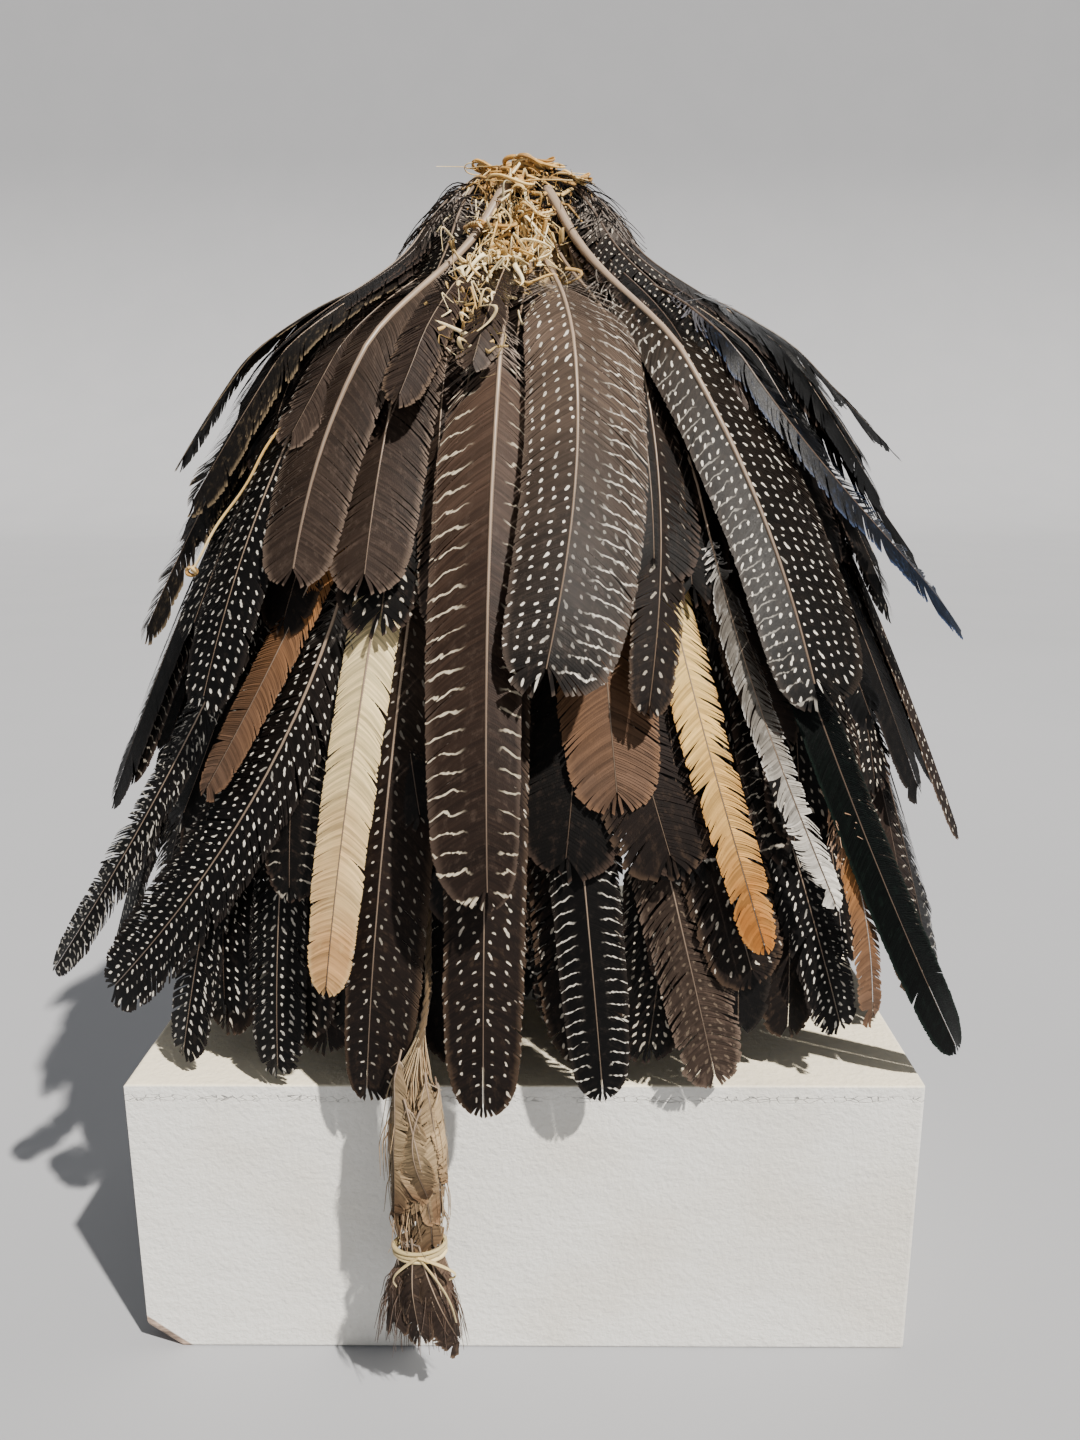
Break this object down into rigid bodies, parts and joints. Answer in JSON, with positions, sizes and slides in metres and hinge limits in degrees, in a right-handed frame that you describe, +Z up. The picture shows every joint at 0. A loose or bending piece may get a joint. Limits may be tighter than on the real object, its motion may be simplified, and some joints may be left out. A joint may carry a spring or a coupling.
{
  "type": "feathered headdress on display block",
  "caption": "Net-cap headdress covered in tiers of spotted, brown, cream and black feathers, bound at the crown, hung on a post on a painted wooden block.",
  "frame": {"origin": "centre of the display block's underside, on the floor", "axes": "+Z up; -Y is the front that the picture shows; +X to the viewer's right"},
  "size_m": [0.3773, 0.266, 0.4588],
  "materials": {
    "block_paint": "wood painted matt white, chipped at one corner",
    "post_paint": "plain grey painted wood",
    "cap_fibre": "knotted brown plant-fibre net",
    "raffia": "golden dry plant fibre, twisted and knotted",
    "fill_feathers": "dark brown vanes with fine pale speckles, matt",
    "tuft": "pale cream-brown feather bundle, dark brown at the lower end",
    "pale_raffia": "pale dry plant fibre tie",
    "spotted_feather": "grey-brown to black vanes with rows of small white spots, satin",
    "striped_feather": "brown vanes with oblique cream stripes and bars, satin",
    "brown_feather": "plain grey-brown vanes with paler worn edges, matt",
    "black_plume": "black vanes with a faint green-blue sheen",
    "ginger_feather": "ginger-orange vanes with grey-brown lower ends, matt",
    "cream_feather": "cream-white vanes going tan at the tip, matt",
    "mottled_down": "downy vane mottled white and grey",
    "green_sickle": "glossy green-black vane"
  },
  "bodies": {
    "root": {"display_block": "block_paint", "display_post": "post_paint", "net_cap": "cap_fibre", "crown_binding": "raffia", "crown_ring": "fill_feathers", "middle_ring": "fill_feathers", "lower_ring": "fill_feathers", "tail_tuft": "tuft", "tuft_tie": "pale_raffia", "feather_spotted_front": "spotted_feather", "feather_spotted_right": "spotted_feather", "feather_striped_front": "striped_feather", "feather_brown_quill": "brown_feather", "feather_brown_left": "brown_feather", "feather_brown_small": "brown_feather", "feather_spotted_narrow": "spotted_feather", "feather_edge_left": "brown_feather", "feather_dotted_left": "spotted_feather", "feather_dotted_low_left": "spotted_feather", "plume_black_upper": "black_plume", "plume_black_side": "black_plume", "plume_blue": "black_plume", "plume_black_low": "black_plume", "feather_spotted_low": "spotted_feather", "feather_ginger_centre": "ginger_feather", "feather_cream_left": "cream_feather", "feather_cream_right": "cream_feather", "feather_dark_left": "spotted_feather", "feather_banded_left": "striped_feather", "feather_broad_left": "spotted_feather", "feather_ginger_left": "ginger_feather", "feather_brown_right": "brown_feather", "feather_down_right": "mottled_down", "sickle_green": "green_sickle", "feather_low_broad": "spotted_feather", "feather_low_brown": "brown_feather", "feather_low_striped": "striped_feather", "feather_low_right": "spotted_feather", "feather_low_left": "spotted_feather", "feather_low_thin": "spotted_feather"}
  },
  "joints": []
}
